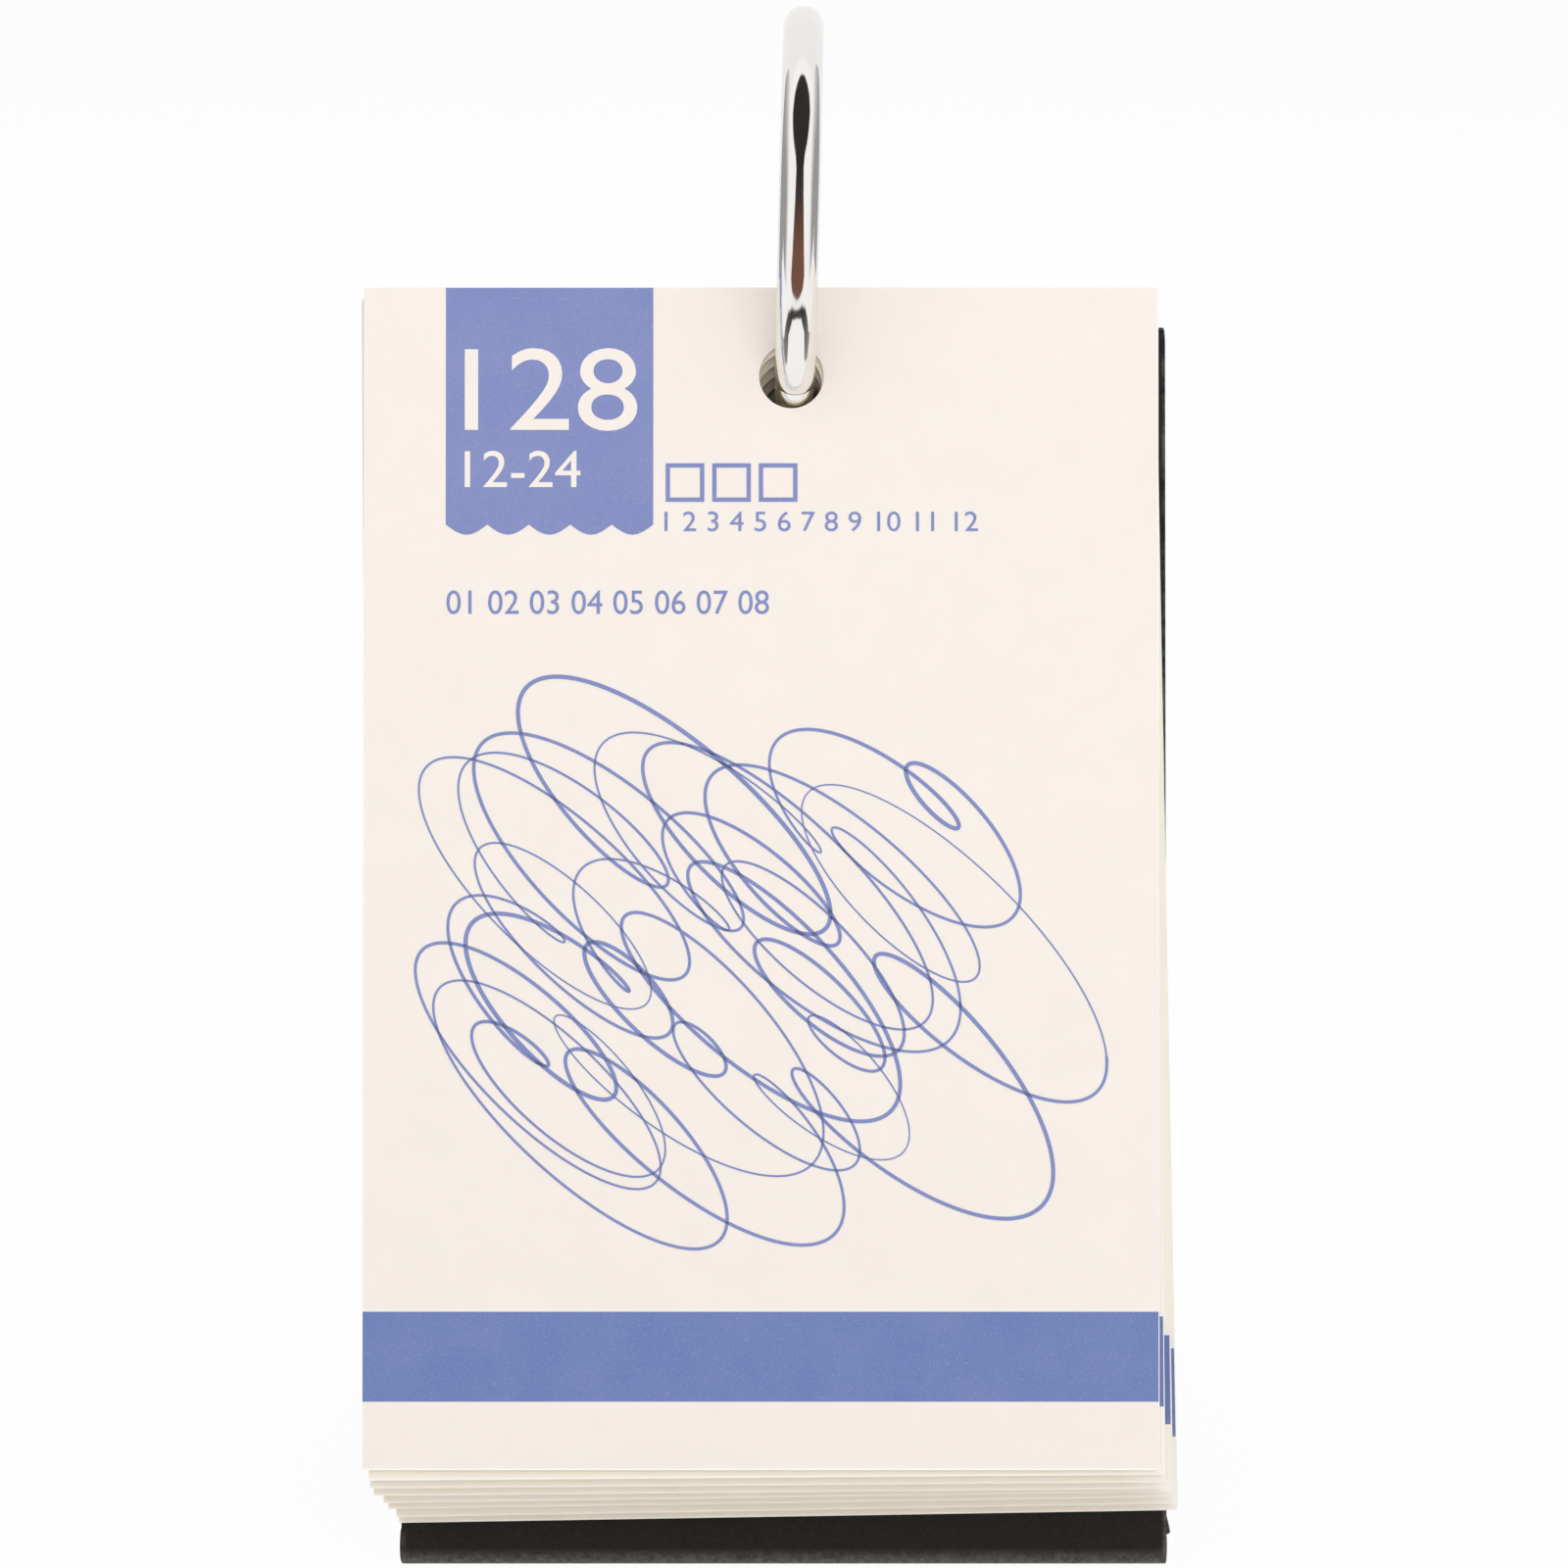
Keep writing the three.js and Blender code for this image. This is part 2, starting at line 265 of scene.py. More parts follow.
# Node materials.
class Shader:
    """A material's node tree, with short ways to add and join its nodes."""

    def __init__(self, name):
        self.material = bpy.data.materials.new(name)
        self.material.use_nodes = True
        self.tree = self.material.node_tree
        self.surface = self.tree.nodes["Principled BSDF"]
        self.coordinates = self.node("ShaderNodeTexCoord")

    def node(self, kind, **settings):
        node = self.tree.nodes.new(kind)
        for key, value in settings.items():
            setattr(node, key, value)
        return node

    def put(self, value, socket):
        if isinstance(value, bpy.types.NodeSocket):
            self.tree.links.new(value, socket)
        else:
            socket.default_value = value

    def math(self, operation, *values):
        node = self.node("ShaderNodeMath", operation=operation)
        for value, socket in zip(values, node.inputs):
            self.put(value, socket)
        return node.outputs[0]

    def vector(self, operation, *values):
        node = self.node("ShaderNodeVectorMath", operation=operation)
        for value, socket in zip(values, node.inputs):
            self.put(value, socket)
        return node.outputs["Value" if operation == "DOT_PRODUCT" else "Vector"]

    def noise(self, scale, detail=3.0, roughness=0.55, vector=None):
        node = self.node("ShaderNodeTexNoise")
        self.put(vector or self.coordinates.outputs["Object"], node.inputs["Vector"])
        self.put(scale, node.inputs["Scale"])
        self.put(detail, node.inputs["Detail"])
        self.put(roughness, node.inputs["Roughness"])
        return node.outputs["Fac"]

    def ramp(self, value, low, high, from_value=0.0, to_value=1.0):
        node = self.node("ShaderNodeMapRange")
        for item, key in ((value, "Value"), (low, "From Min"), (high, "From Max")):
            self.put(item, node.inputs[key])
        self.put(from_value, node.inputs["To Min"])
        self.put(to_value, node.inputs["To Max"])
        return node.outputs["Result"]

    def mix(self, factor, first, second):
        node = self.node("ShaderNodeMix", data_type="RGBA")
        self.put(factor, node.inputs["Factor"])
        self.put(first, node.inputs["A"])
        self.put(second, node.inputs["B"])
        return node.outputs["Result"]

    def bump(self, height, distance, strength=1.0, normal=None):
        node = self.node("ShaderNodeBump")
        if normal is not None:
            self.put(normal, node.inputs["Normal"])
        self.put(height, node.inputs["Height"])
        self.put(distance, node.inputs["Distance"])
        self.put(strength, node.inputs["Strength"])
        self.put(node.outputs["Normal"], self.surface.inputs["Normal"])

    def finish(self, colour, roughness, metallic=0.0, specular=0.5):
        self.put(colour, self.surface.inputs["Base Color"])
        self.put(roughness, self.surface.inputs["Roughness"])
        self.surface.inputs["Metallic"].default_value = metallic
        self.surface.inputs["Specular IOR Level"].default_value = specular
        return self.material


def printed_ink(shader, ink, paper):
    """Blue ink that lets the paper's grain through as fine pale specks."""
    speck = shader.ramp(shader.noise(9000, 4.0, 0.7), 0.54, 0.74, 0.0, 0.26)
    cloud = shader.ramp(shader.noise(180, 2.0), 0.3, 0.7, 0.0, 0.03)
    shade = shader.math("ADD", speck, cloud)
    return shader.mix(shade, linear(ink), paper)


def paper_grain(shader, tone=PAPER):
    """Uncoated card: a faint mottle and a fine tooth."""
    mottle = shader.ramp(shader.noise(220, 4.0), 0.3, 0.7)
    return shader.mix(mottle, linear(shifted(tone, -2)), linear(tone))


def paper_tooth(shader):
    shader.bump(shader.noise(6000, 4.0, 0.6), 0.01 * MM)


def ink_material():
    shader = Shader("printed_ink")
    ink = printed_ink(shader, BLOCK_INK, linear(PAPER))
    paper_tooth(shader)
    return shader.finish(ink, 0.62, specular=0.35)


def knockout_material():
    shader = Shader("unprinted_paper")
    paper_tooth(shader)
    return shader.finish(paper_grain(shader), 0.85, specular=0.3)


def leaf_material(name, corner, tone):
    """Card with a printed band across it, a painted highlight along its bottom and right rims, and the lines of
    thin sheets along its cut edges; leaves behind the front one also take a warmer tone of painted shade and a
    painted light towards their right side.
    """
    shader = Shader(name)
    right, rear, up = (Vector(corner.col[i][:3]) for i in range(3))
    place = shader.coordinates.outputs["Object"]
    from_corner = shader.vector("SUBTRACT", place, tuple(corner.translation))
    down = shader.vector("DOT_PRODUCT", from_corner, tuple(-up / MM))
    across = shader.vector("DOT_PRODUCT", from_corner, tuple(right / MM))
    depth = shader.vector("DOT_PRODUCT", from_corner, tuple(rear / MM))
    facing = shader.vector("DOT_PRODUCT", shader.coordinates.outputs["Normal"], tuple(-rear))
    on_face = shader.math("GREATER_THAN", facing, 0.5)
    on_back = shader.math("LESS_THAN", facing, -0.5)
    on_edge = shader.math("SUBTRACT", shader.math("SUBTRACT", 1.0, on_face), on_back)

    below_top = shader.math("GREATER_THAN", down, BAND_TOP)
    above_bottom = shader.math("LESS_THAN", down, BAND_BOTTOM)
    in_band = shader.math("MULTIPLY", below_top, above_bottom)
    left_of_painted_highlight = shader.math("LESS_THAN", across, PAINTED_HIGHLIGHT_LEFT)
    face_ink = shader.math("MULTIPLY", on_face, left_of_painted_highlight)
    edge_ink = shader.math("MULTIPLY", on_edge, 0.45)
    inked = shader.math("ADD", face_ink, edge_ink)

    sheet = shader.math("FRACT", shader.math("DIVIDE", depth, SHEET_PITCH))
    from_middle = shader.math("ABSOLUTE", shader.math("SUBTRACT", sheet, 0.5))
    between_sheets = shader.math("GREATER_THAN", from_middle, 0.36)
    wander = shader.ramp(shader.noise(900, 3.0), 0.35, 0.65, 0.25, 0.9)
    line = shader.math("MULTIPLY", shader.math("MULTIPLY", between_sheets, on_edge), wander)

    # Painted highlight: a paler band along the bottom and right rims.
    at_right = shader.math("GREATER_THAN", across, PAINTED_HIGHLIGHT_LEFT)
    at_bottom = shader.math("GREATER_THAN", down, PAINTED_HIGHLIGHT_TOP)
    rim = shader.math("MAXIMUM", at_right, at_bottom)
    # Leaves behind the front one: painted light that fades in towards their right side.
    if tone != PAPER:
        rim = shader.math("MAXIMUM", rim, shader.ramp(across, *PAINTED_SIDE_LIGHT))
    paper = shader.mix(rim, paper_grain(shader, tone), linear(PAPER_PAINTED_HIGHLIGHT))
    cut = shader.mix(on_edge, paper, linear(PAPER_EDGE))
    lined = shader.mix(line, cut, linear(SHEET_LINE))
    ink = printed_ink(shader, BAND_INK, paper)
    colour = shader.mix(shader.math("MULTIPLY", in_band, inked), lined, ink)
    paper_tooth(shader)
    return shader.finish(colour, 0.85, specular=0.3)


def board_material():
    """Black wrapping paper, rubbed pale along its edges and near the ground."""
    shader = Shader("black_board")
    bevel = shader.node("ShaderNodeBevel", samples=4)
    bevel.inputs["Radius"].default_value = 0.9 * MM
    geometry = shader.node("ShaderNodeNewGeometry")
    same = shader.vector("DOT_PRODUCT", bevel.outputs["Normal"], geometry.outputs["Normal"])
    edge = shader.ramp(same, 0.99, 0.8)
    rub = shader.ramp(shader.noise(420, 5.0, 0.65), 0.42, 0.66)
    scuff = shader.math("MULTIPLY", shader.math("MULTIPLY", edge, rub), 0.7)
    fibre = shader.noise(2600, 4.0, 0.6)
    black = shader.mix(fibre, linear(shifted(BOARD, -10)), linear(shifted(BOARD, 10)))
    height = shader.node("ShaderNodeSeparateXYZ")
    shader.put(shader.coordinates.outputs["Object"], height.inputs[0])
    near_ground = shader.ramp(height.outputs["Z"], 2.1 * MM, 0.3 * MM)
    near_ground = shader.math("POWER", near_ground, 1.3)
    smear = shader.ramp(shader.noise(1500, 6.0, 0.75), 0.34, 0.68, 0.15, 0.95)
    speck = shader.ramp(shader.noise(5000, 3.0, 0.6), 0.58, 0.66, 0.0, 1.0)
    dust = shader.math("MULTIPLY", near_ground, shader.math("MAXIMUM", smear, speck))
    colour = shader.mix(shader.math("MAXIMUM", scuff, dust), black, linear(BOARD_WORN))
    shader.bump(fibre, 0.03 * MM, 0.7, bevel.outputs["Normal"])
    roughness = shader.ramp(shader.noise(300, 3.0), 0.3, 0.7, 0.55, 0.68)
    return shader.finish(colour, roughness, specular=0.15)


def nickel_material():
    shader = Shader("polished_nickel")
    haze = shader.ramp(shader.noise(700, 4.0), 0.3, 0.75, 0.05, 0.11)
    tint = shader.mix(shader.noise(260, 2.0), linear(shifted(NICKEL, -8)), linear(NICKEL))
    shader.bump(shader.noise(350, 3.0), 0.004 * MM, 0.6)
    return shader.finish(tint, haze, metallic=1.0)


# Places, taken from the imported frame.
def joint_place(name):
    return Matrix.Translation(Vector(JOINTS[name]["pos_m"]))


def leaning_frame():
    """The front board's own frame, from the bottom fold: X across, Y to the rear, Z up the board."""
    return joint_place("base_board_fold") @ Matrix.Rotation(-LEAN, 4, "X")


def apex_frame():
    """The rear board's own frame, from the top fold."""
    return joint_place("rear_board_fold") @ Matrix.Rotation(LEAN, 4, "X")


def ring_frame():
    """The ring's own frame: X along its axis, Y to the rear."""
    across = Vector(JOINTS["ring_turn"]["axis"]).normalized()
    rear = Vector((0, math.cos(LEAN), -math.sin(LEAN)))
    up = across.cross(rear).normalized()
    turn = Matrix((across, rear, up)).transposed().to_4x4()
    return joint_place("ring_turn") @ turn


def leaf_corner(node, leaning):
    """A leaf's frame at the top left corner of its printed face: X right, Y to the rear, Z up."""
    local = leaning.inverted()
    points = [local @ v.co for v in node.data.vertices]
    top_left = max(points, key=lambda p: p.z - p.x)
    top_right = max(points, key=lambda p: p.z + p.x)
    front = min(p.y for p in points)
    slope = math.atan2(top_right.z - top_left.z, top_right.x - top_left.x)
    place = Matrix.Translation(Vector((top_left.x, front, top_left.z)))
    return leaning @ place @ Matrix.Rotation(-slope, 4, "Y")


# Print on the leaves.
def print_vertex(bm, right, down, lift):
    """A point of a printed shape: millimetres right and down, and layers of print above the leaf."""
    return bm.verts.new((right * MM, -(PRINT_LIFT + lift * PRINT_THICKNESS) * MM, -down * MM))


def join_rings(bm, a, b):
    for k in range(len(a)):
        n = (k + 1) % len(a)
        bm.faces.new((a[k], a[n], b[n], b[k]))


def printed(name, bm, corner, material):
    """The printed shape as an object, placed on its leaf."""
    bmesh.ops.recalc_face_normals(bm, faces=bm.faces)
    mesh = bpy.data.meshes.new(name)
    bm.to_mesh(mesh)
    bm.free()
    mesh.transform(corner)
    piece = link_object(name, mesh)
    paint(piece, material)
    return piece


def raised(name, flat, level, corner, material):
    """Flat shapes, in millimetres right and down, as a thin solid on the leaf or on the print below."""
    flat.verts.index_update()
    bm = bmesh.new()
    near = [print_vertex(bm, v.co.x, v.co.y, level + 1) for v in flat.verts]
    far = [print_vertex(bm, v.co.x, v.co.y, level) for v in flat.verts]
    for face in flat.faces:
        loop = [v.index for v in face.verts]
        bm.faces.new([near[i] for i in loop])
        bm.faces.new([far[i] for i in reversed(loop)])
    for edge in flat.edges:
        if edge.is_boundary:
            a, b = (v.index for v in edge.verts)
            bm.faces.new((near[a], near[b], far[b], far[a]))
    flat.free()
    return printed(name, bm, corner, material)


def header_block(name, corner, material):
    """A plain block from the top edge down, with a scalloped lower edge."""
    steps = 8
    width = (BLOCK_RIGHT - BLOCK_LEFT) / SCALLOPS
    loop = [(BLOCK_LEFT, BLOCK_TOP), (BLOCK_RIGHT, BLOCK_TOP)]
    for i in range(SCALLOPS * steps + 1):
        across = BLOCK_RIGHT - i * width / steps
        wave = abs(math.sin(math.pi * i / steps))
        loop.append((across, BLOCK_BOTTOM + SCALLOP_DEPTH * wave))
    flat = bmesh.new()
    flat.faces.new([flat.verts.new((right, down, 0)) for right, down in loop])
    flat.normal_update()
    bmesh.ops.triangulate(flat, faces=flat.faces[:])
    return raised(name, flat, 0, corner, material)


def number_piece(name, text, place, corner, material, level=0):
    """Plain numerals. Their place is height, left, top and width."""
    height, left, top, width = place
    curve = bpy.data.curves.new(name, "FONT")
    curve.body = text
    curve.resolution_u = 6
    writer = bpy.data.objects.new(name, curve)
    bpy.context.scene.collection.objects.link(writer)
    bpy.context.view_layer.update()
    mesh = bpy.data.meshes.new_from_object(writer)
    bpy.data.objects.remove(writer)
    low_x = min(v.co.x for v in mesh.vertices)
    high_x = max(v.co.x for v in mesh.vertices)
    low_y = min(v.co.y for v in mesh.vertices)
    high_y = max(v.co.y for v in mesh.vertices)
    for v in mesh.vertices:
        right = left + (v.co.x - low_x) / (high_x - low_x) * width
        down = top + (high_y - v.co.y) / (high_y - low_y) * height
        v.co = (right, down, 0)
    flat = bmesh.new()
    flat.from_mesh(mesh)
    bpy.data.meshes.remove(mesh)
    bmesh.ops.remove_doubles(flat, verts=flat.verts, dist=1e-4)
    return raised(name, flat, level, corner, material)


def looped_line(phase):
    """Points of one long line that curls in loops around a wandering oval, fitted to its place."""
    points = []
    count = 3600
    for i in range(count + 1):
        t = 2 * math.pi * i / count
        reach = 1 + 0.3 * math.sin(4 * t + phase) + 0.18 * math.cos(7 * t - phase)
        curl = 7.5 + 3.5 * math.sin(5 * t + 2 * phase)
        across = 17 * reach * math.cos(3 * t) + curl * math.cos(31 * t)
        down = 13 * reach * math.sin(3 * t + 0.6 * math.sin(2 * t)) + curl * math.sin(31 * t + phase)
        points.append((across, down))
    fitted = []
    for values, low, high in zip(zip(*points), (LINE_LEFT, LINE_TOP), (LINE_RIGHT, LINE_BOTTOM)):
        scale = (high - low) / (max(values) - min(values))
        fitted.append([low + (value - min(values)) * scale for value in values])
    return list(zip(*fitted))


def line_piece(name, points, corner, material):
    """A drawn line as a thin strip that swells and narrows."""
    bm = bmesh.new()
    rows = []
    last = len(points) - 1
    for i, (x, y) in enumerate(points):
        before = points[max(i - 1, 0)]
        after = points[min(i + 1, last)]
        dx, dy = after[0] - before[0], after[1] - before[1]
        length = math.hypot(dx, dy) or 1
        half = 0.13 + 0.045 * math.sin(i * 0.019) + 0.02 * math.sin(i * 0.0067)
        nx, ny = -dy / length * half, dx / length * half
        ends = ((1, 1), (-1, 1), (-1, 0), (1, 0))
        rows.append([print_vertex(bm, x + side * nx, y + side * ny, lift) for side, lift in ends])
    for a, b in zip(rows, rows[1:]):
        join_rings(bm, a, b)
    bm.faces.new(rows[0])
    bm.faces.new(list(reversed(rows[-1])))
    return printed(name, bm, corner, material)


def square(left, top, size):
    right, bottom = left + size, top + size
    return [(left, top), (right, top), (right, bottom), (left, bottom)]


def tick_boxes(name, corner, material):
    """A row of square outlines, as thin solids."""
    bm = bmesh.new()
    inside = BOX_SIZE - 2 * BOX_LINE
    for box in range(BOX_COUNT):
        left = BOX_LEFT + box * BOX_STEP
        outer = square(left, BOX_TOP, BOX_SIZE)
        inner = square(left + BOX_LINE, BOX_TOP + BOX_LINE, inside)
        rings = []
        for outline, lift in ((outer, 1), (inner, 1), (inner, 0), (outer, 0)):
            rings.append([print_vertex(bm, right, down, lift) for right, down in outline])
        for i in range(4):
            join_rings(bm, rings[i], rings[(i + 1) % 4])
    return printed(name, bm, corner, material)


def print_leaf(leaf, page, body, leaning, ink, blank):
    """The whole print of one leaf. Numbers and line differ from page to page."""
    corner = leaf_corner(frame["nodes"][leaf], leaning)
    number = str(FIRST_NUMBER - page)
    line = looped_line(LINE_FIRST_PHASE + LINE_PHASE_STEP * page)
    pieces = [
        header_block(f"header_block_{page}", corner, ink),
        number_piece(f"day_number_{page}", number, DAY_NUMBER_PLACE, corner, blank, 1),
        number_piece(f"date_in_block_{page}", BLOCK_DATES, BLOCK_DATES_PLACE, corner, blank, 1),
        tick_boxes(f"tick_boxes_{page}", corner, ink),
        number_piece(f"week_row_{page}", UPPER_ROW, UPPER_ROW_PLACE, corner, ink),
        number_piece(f"month_row_{page}", LOWER_ROW, LOWER_ROW_PLACE, corner, ink),
        line_piece(f"looped_line_{page}", line, corner, ink),
    ]
    for piece in pieces:
        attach(piece, body)


# The book ring, rounder than the solids it stands for.
def ring_point(angle, radius=None, across=0.0):
    reach = RING_RADIUS if radius is None else radius
    return Vector((across, -reach * math.cos(angle), -reach * math.sin(angle)))


def tube_arc(name, start, end, radius, sides=40, steps=140):
    """A stretch of the ring's wire, with rounded rims at both ends."""
    verts = []
    for i in range(steps + 1):
        angle = start + (end - start) * i / steps
        rim = radius - RIM_ROUNDING[min(i, steps - i, 2)]
        for k in range(sides):
            turn = 2 * math.pi * k / sides
            reach = RING_RADIUS + rim * math.cos(turn)
            verts.append(ring_point(angle, reach, rim * math.sin(turn)) * MM)
    obj = mesh_object(name, verts, tube_faces(steps + 1, sides))
    face_outward(obj)
    return obj


def turned(name, profile, place, sides=40):
    """A shape turned about X. The profile holds points of millimetres along X and away from it."""
    verts = []
    for along, away in profile:
        for k in range(sides):
            turn = 2 * math.pi * k / sides
            verts.append(Vector((along, away * math.cos(turn), away * math.sin(turn))) * MM)
    obj = mesh_object(name, verts, tube_faces(len(profile), sides))
    obj.data.transform(place)
    face_outward(obj)
    return obj


def at_hinge(radius, low, high):
    """A round cutter or eye on the hinge's axis."""
    place = Matrix.Translation(ring_point(HINGE) * MM)
    return turned("hinge_cutter", [(low, radius), (high, radius)], place)


def clasp_body(radius, length):
    """A round-tipped pin along the wire at the clasp."""
    place = Matrix.Translation(ring_point(CLASP) * MM)
    along = Vector((0, math.sin(CLASP), -math.cos(CLASP)))
    turn = Vector((1, 0, 0)).rotation_difference(along).to_matrix().to_4x4()
    profile = [(-0.3, radius)]
    for i in range(7):
        angle = i / 6 * math.pi / 2
        profile.append((length - radius * (1 - math.sin(angle)), max(radius * math.cos(angle), 0.02)))
    return turned("clasp_cutter", profile, place @ turn, 28)


def lower_half_ring():
    """The half with the hinge's two ears and the clasp's socket."""
    slot = HINGE_TAB_WIDTH / 2 + HINGE_SIDE_GAP
    ear_face = slot + HINGE_EAR_WIDTH
    start = CLASP + CLASP_GAP / 2 / RING_RADIUS
    half = tube_arc("ring_lower_half_smooth", start, HINGE, WIRE_RADIUS)
    boolean(half, at_hinge(HINGE_EYE_RADIUS, -ear_face, ear_face), "UNION")
    boolean(half, at_hinge(HINGE_RELIEF, -slot, slot), "DIFFERENCE")
    boolean(half, at_hinge(HINGE_RELIEF, ear_face, CUTTER_REACH), "DIFFERENCE")
    boolean(half, at_hinge(HINGE_RELIEF, -CUTTER_REACH, -ear_face), "DIFFERENCE")
    boolean(half, at_hinge(RIVET_RADIUS + RIVET_CLEARANCE, -CUTTER_REACH, CUTTER_REACH), "DIFFERENCE")
    socket = clasp_body(TONGUE_RADIUS + TONGUE_CLEARANCE, TONGUE_LENGTH + TONGUE_CLEARANCE)
    boolean(half, socket, "DIFFERENCE")
    return half


def upper_half_ring():
    """The half with the hinge's tab and the clasp's tongue."""
    tab = HINGE_TAB_WIDTH / 2
    end = CLASP + 2 * math.pi - CLASP_GAP / 2 / RING_RADIUS
    half = tube_arc("ring_upper_half_smooth", HINGE, end, WIRE_RADIUS)
    boolean(half, at_hinge(HINGE_RELIEF, tab, CUTTER_REACH), "DIFFERENCE")
    boolean(half, at_hinge(HINGE_RELIEF, -CUTTER_REACH, -tab), "DIFFERENCE")
    boolean(half, at_hinge(HINGE_EYE_RADIUS, -tab, tab), "UNION")
    boolean(half, at_hinge(RIVET_RADIUS + RIVET_CLEARANCE, -CUTTER_REACH, CUTTER_REACH), "DIFFERENCE")
    boolean(half, clasp_body(TONGUE_RADIUS, TONGUE_LENGTH), "UNION")
    return half


def hinge_rivet():
    """A rivet with a low dome at each end."""
    ear_face = HINGE_TAB_WIDTH / 2 + HINGE_SIDE_GAP + HINGE_EAR_WIDTH + RIVET_CLEARANCE
    dome = []
    for i in range(7):
        angle = i / 6 * math.pi / 2
        rise = RIVET_HEAD_HEIGHT * math.sin(angle)
        dome.append((ear_face + rise, max(RIVET_HEAD_RADIUS * math.cos(angle), 0.02)))
    profile = [(-along, away) for along, away in reversed(dome)]
    profile += [(-ear_face, RIVET_RADIUS), (ear_face, RIVET_RADIUS)] + dome
    return turned("ring_rivet_domed", profile, Matrix.Translation(ring_point(HINGE) * MM))


def place_ring(nickel):
    place = ring_frame()
    pieces = [
        (lower_half_ring(), "ring_lower_half", "lower_half_ring"),
        (upper_half_ring(), "ring_upper_half", "upper_half_ring"),
        (hinge_rivet(), "ring_hinge_rivet", "lower_half_ring"),
    ]
    for piece, node, body in pieces:
        piece.data.transform(place)
        paint(piece, nickel)
        smooth(piece)
        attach(piece, body)
        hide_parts(node)


# The paper that wraps the stand, across its two creases and round its fold ends.
def crease_strip(name, outline, place, look):
    """A strip of wrapping paper. Its side view holds pairs of inner and outer (Y, Z) points."""
    half = STAND_WIDTH / 2 - CREASE_INSET
    verts = []
    for inner, outer in outline:
        for x, (y, z) in ((-half, inner), (half, inner), (half, outer), (-half, outer)):
            verts.append(Vector((x, y, z)) * MM)
    strip = mesh_object(name, verts, tube_faces(len(outline), 4))
    strip.data.transform(place)
    face_outward(strip)
    paint(strip, look)
    smooth(strip, 50)
    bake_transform(strip)


def top_crease(look):
    """From the round top fold down over the rear board's outer face."""
    inner = FOLD_RADIUS + WRAP_LIFT
    outer = inner + WRAP_THICKNESS
    outline = []
    for i in range(17):
        turn = math.radians(100 - 100 * i / 16)
        side = (math.cos(turn), math.sin(turn))
        outline.append(((inner * side[0], inner * side[1]), (outer * side[0], outer * side[1])))
    for down in (0.7, 1.4, 2.1, 2.8, 4.4):
        outline.append(((inner, -down), (outer, -down)))
    turn = math.radians(55)
    crease_strip("top_crease_paper", outline, apex_frame(), look)


def bottom_crease(look):
    """Across the gap between the round bottom fold and the base board, just clear of the ground."""
    low = GROUND_PLAY - FOLD_RADIUS
    high = low + GROUND_STRIP_THICKNESS
    outline = [((y, low), (y, high)) for y in (0.62, 0.9, 1.2, 1.5, 1.8, 2.04)]
    place = joint_place("base_board_fold")
    crease_strip("bottom_crease_paper", outline, place, look)


def fold_ends(look):
    """Tucked paper that swells a little at both ends of the bottom fold."""
    foot = joint_place("base_board_fold")
    half = STAND_WIDTH / 2
    for side, swell in (("left", 0.18), ("right", 0.07)):
        rim = ((-0.02, 1.72), (0.55 * swell, 1.66), (0.95 * swell, 1.4), (swell, 0.7), (swell, 0.02))
        profile = [(half + along, away) for along, away in rim]
        tuck = turned(f"fold_end_{side}", profile, Matrix.Identity(4))
        if side == "left":
            tuck.data.transform(Matrix.Scale(-1, 4, (1, 0, 0)))
            face_outward(tuck)
        tuck.data.transform(foot)
        paint(tuck, look)
        smooth(tuck)
        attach(tuck, "front_board")


def wrap_corner(look, leaning):
    """A loose corner of wrapping paper on the right side of the front board, above the fold."""
    half = STAND_WIDTH / 2
    outline = [(-0.05, 3.0), (0.14, 2.3), (0.33, 1.4), (0.28, 1.2), (-0.05, 1.1)]
    count = len(outline)
    verts = [Vector((half + out, y, z)) * MM for y in (-1.7, -1.15) for out, z in outline]
    faces = [tuple(range(count)), tuple(reversed(range(count, 2 * count)))]
    faces += [(i, (i + 1) % count, count + (i + 1) % count, count + i) for i in range(count)]
    corner = mesh_object("wrap_corner_paper", verts, faces)
    corner.data.transform(leaning)
    face_outward(corner)
    paint(corner, look)
    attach(corner, "front_board")


# The stage: floor, room shapes, lamps, world and camera.
def floor_material():
    """Pale floor: white to the camera, with a trace of the object's shadow."""
    shader = Shader("floor")
    shader.finish(linear(FLOOR), 0.9, specular=0.1)
    white = shader.node("ShaderNodeEmission")
    white.inputs["Color"].default_value = linear(WHITE)
    rays = shader.node("ShaderNodeLightPath")
    seen = shader.math("MAXIMUM", rays.outputs["Is Camera Ray"], rays.outputs["Is Glossy Ray"])
    share = shader.math("MULTIPLY", seen, FLOOR_WHITE_SHARE)
    mix = shader.node("ShaderNodeMixShader")
    shader.put(share, mix.inputs[0])
    shader.put(shader.surface.outputs[0], mix.inputs[1])
    shader.put(white.outputs[0], mix.inputs[2])
    output = shader.tree.nodes["Material Output"]
    shader.put(mix.outputs[0], output.inputs["Surface"])
    return shader.material


def make_floor():
    corners = [(x * FLOOR_SIZE, y * FLOOR_SIZE, 0) for x, y in ((-1, -1), (1, -1), (1, 1), (-1, 1))]
    floor = mesh_object("floor", corners, [(0, 1, 2, 3)])
    paint(floor, floor_material())


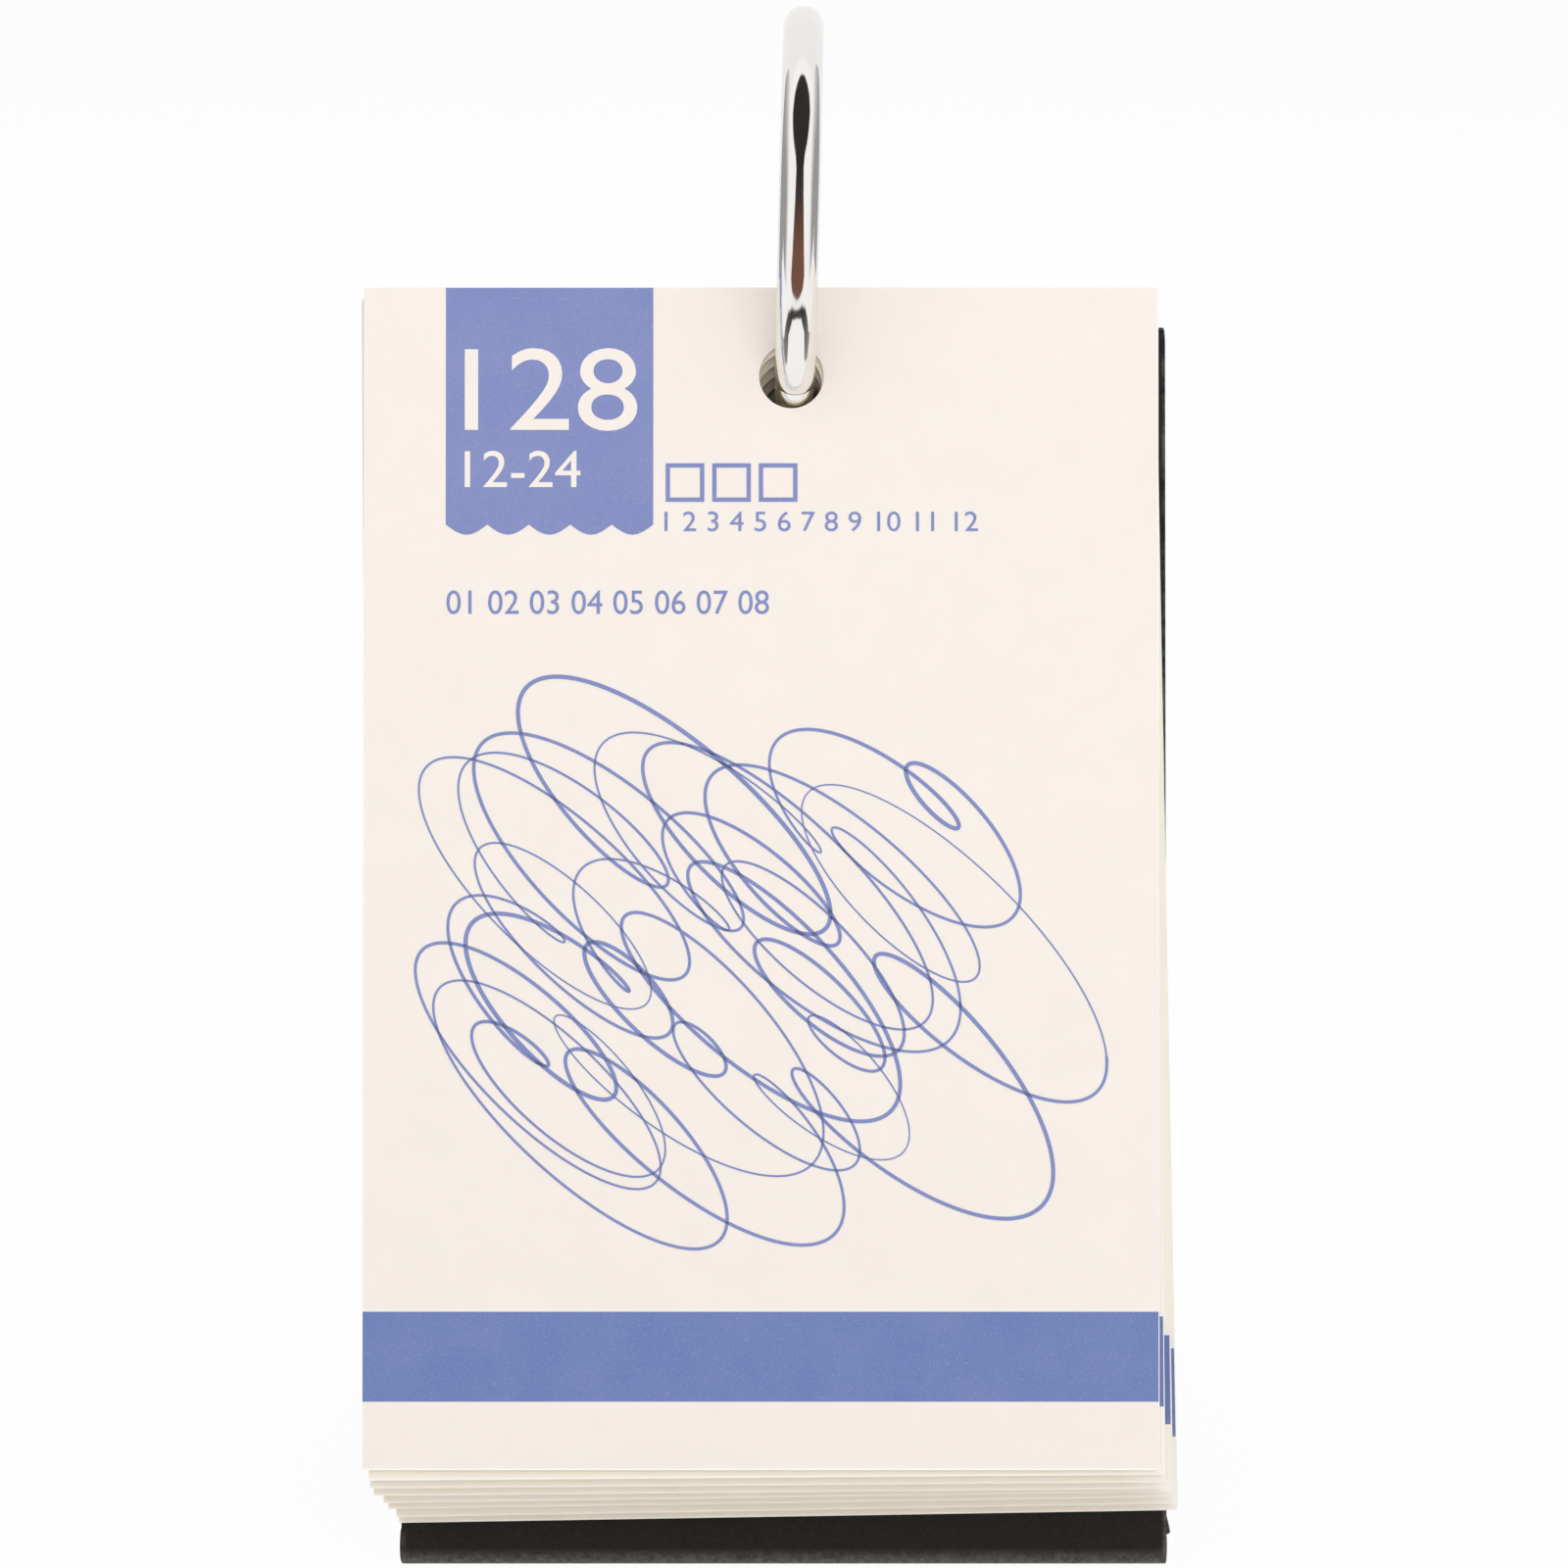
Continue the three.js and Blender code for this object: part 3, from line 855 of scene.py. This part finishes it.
def room_shape(name, outline, colours, tone_at, distance=ROOM_DISTANCE):
    """A shape in the room, seen only in reflections. Its tone, from 0 to 1, runs between two colours."""
    verts, faces, tones = [], [], []
    across = 12
    for elevation, left, right in outline:
        e = math.radians(elevation)
        for i in range(across + 1):
            side = math.radians(left + (right - left) * i / across)
            level = math.cos(side)
            point = Vector((math.sin(side), -math.cos(e) * level, math.sin(e) * level))
            verts.append(point * distance)
            tones.append(min(max(tone_at(elevation, i / across), 0.0), 1.0))
    for row in range(len(outline) - 1):
        for i in range(across):
            a, b = row * (across + 1) + i, (row + 1) * (across + 1) + i
            faces.append((a, a + 1, b + 1, b))
    shape = mesh_object(name, verts, faces)
    shape.data.transform(joint_place("ring_turn"))
    shape.data.attributes.new("tone", "FLOAT", "POINT").data.foreach_set("value", tones)
    shader = Shader(name)
    tone = shader.node("ShaderNodeAttribute", attribute_name="tone")
    glow = shader.node("ShaderNodeEmission")
    shader.put(shader.mix(tone.outputs["Fac"], *(linear(c) for c in colours)), glow.inputs["Color"])
    shader.put(glow.outputs[0], shader.tree.nodes["Material Output"].inputs["Surface"])
    paint(shape, shader.material)
    shape.visible_camera = False
    shape.visible_diffuse = False
    shape.visible_shadow = False


def dark_tone(elevation, share):
    """Brown low down and black from 32 degrees up."""
    return elevation / 32


def right_tone(elevation, share):
    """Fades in from the side nearest to the camera, and is even grey behind the ring."""
    behind = min(max((elevation - 101) / 49, 0.0), 1.0)
    return behind + (1 - behind) * 2 * share


def left_tone(elevation, share):
    return right_tone(elevation, 1 - share)


def low_tone(elevation, share):
    """Fades from black to grey downwards."""
    return -(elevation + 31) / 50


def even_tone(elevation, share):
    return 0


def mirrored(outline):
    return [(elevation, -right, -left) for elevation, left, right in outline]


def make_room():
    """Dark, grey and pale shapes that stand for the room around the ring."""
    room_shape("dark_room_shape", DARK_SHAPE, (BROWN_ROOM, DARK_ROOM), dark_tone)
    room_shape("left_room_shape", mirrored(SIDE_SHAPE), (WHITE, GREY_ROOM), left_tone)
    room_shape("right_room_shape", SIDE_SHAPE, (WHITE, GREY_ROOM), right_tone)
    room_shape("left_low_shape", mirrored(LOW_SHAPE), (DARK_ROOM, GREY_ROOM), low_tone, LOW_DISTANCE)
    room_shape("right_low_shape", LOW_SHAPE, (DARK_ROOM, GREY_ROOM), low_tone, LOW_DISTANCE)
    room_shape("back_room_shape", BACK_SHAPE, (PALE_ROOM, PALE_ROOM), even_tone, BACK_DISTANCE)


def area_lamp(name, location, size, watts):
    light = bpy.data.lights.new(name, "AREA")
    light.shape = "RECTANGLE"
    light.size, light.size_y = size
    light.energy = watts
    lamp = bpy.data.objects.new(name, light)
    bpy.context.scene.collection.objects.link(lamp)
    lamp.location = location
    direction = Vector(LAMP_TARGET) - Vector(location)
    lamp.rotation_euler = direction.to_track_quat("-Z", "Y").to_euler()
    lamp.visible_camera = False
    lamp.visible_glossy = False


def make_world():
    """White to the camera and in reflections, and a softer light on the object."""
    world = bpy.data.worlds.new("white_room")
    bpy.context.scene.world = world
    world.use_nodes = True
    tree = world.node_tree
    tree.nodes.clear()
    rays = tree.nodes.new("ShaderNodeLightPath")
    seen = tree.nodes.new("ShaderNodeMath")
    seen.operation = "MAXIMUM"
    tree.links.new(rays.outputs["Is Camera Ray"], seen.inputs[0])
    tree.links.new(rays.outputs["Is Glossy Ray"], seen.inputs[1])
    mix = tree.nodes.new("ShaderNodeMixShader")
    tree.links.new(seen.outputs[0], mix.inputs[0])
    for strength, socket in zip((WORLD_LIGHT, 1.0), mix.inputs[1:]):
        background = tree.nodes.new("ShaderNodeBackground")
        background.inputs["Color"].default_value = linear(WHITE)
        background.inputs["Strength"].default_value = strength
        tree.links.new(background.outputs[0], socket)
    output = tree.nodes.new("ShaderNodeOutputWorld")
    tree.links.new(mix.outputs[0], output.inputs[0])


def make_camera(leaning):
    corner = leaf_corner(frame["nodes"]["leaf_01"], leaning)
    right = (LEAF_HOLE_RIGHT - VIEW_CENTRE_LEFT_OF_HOLE) * MM
    down = (LEAF_HOLE_DOWN + VIEW_CENTRE_BELOW_HOLE) * MM
    target = corner @ Vector((right, 0, -down))
    tilt = math.radians(CAMERA_ELEVATION)
    back = Vector((0, -math.cos(tilt), math.sin(tilt)))
    camera = bpy.data.objects.new("camera", bpy.data.cameras.new("camera"))
    bpy.context.scene.collection.objects.link(camera)
    camera.data.lens = CAMERA_FOCAL
    camera.data.sensor_width = 36
    camera.data.sensor_fit = "HORIZONTAL"
    camera.data.clip_start = 0.01
    camera.location = target + back * CAMERA_DISTANCE * MM
    camera.rotation_euler = (math.radians(90) - tilt, 0, 0)
    bpy.context.scene.camera = camera


# Everything is made here.
bpy.context.scene.view_settings.view_transform = "Standard"
leaning = leaning_frame()
make_camera(leaning)
make_world()
for lamp in LAMPS:
    area_lamp(*lamp)
make_floor()
make_room()

board_look = board_material()
ink_look = ink_material()
blank_look = knockout_material()

for name in ("front_panel", "rear_panel", "base_panel"):
    paint(frame["nodes"][name], board_look)

for page, body in enumerate(PAD_BODIES):
    for name in BODIES[body]:
        node = frame["nodes"][name]
        # Leaves behind the front one take a warmer tone of painted shade.
        tone = PAPER if page == 0 else SHADED_PAPER_BEHIND
        paint(node, leaf_material(f"card_{name}", leaf_corner(node, leaning), tone))
    print_leaf(BODIES[body][0], page, body, leaning, ink_look, blank_look)

place_ring(nickel_material())
top_crease(board_look)
bottom_crease(board_look)
fold_ends(board_look)
wrap_corner(board_look, leaning)
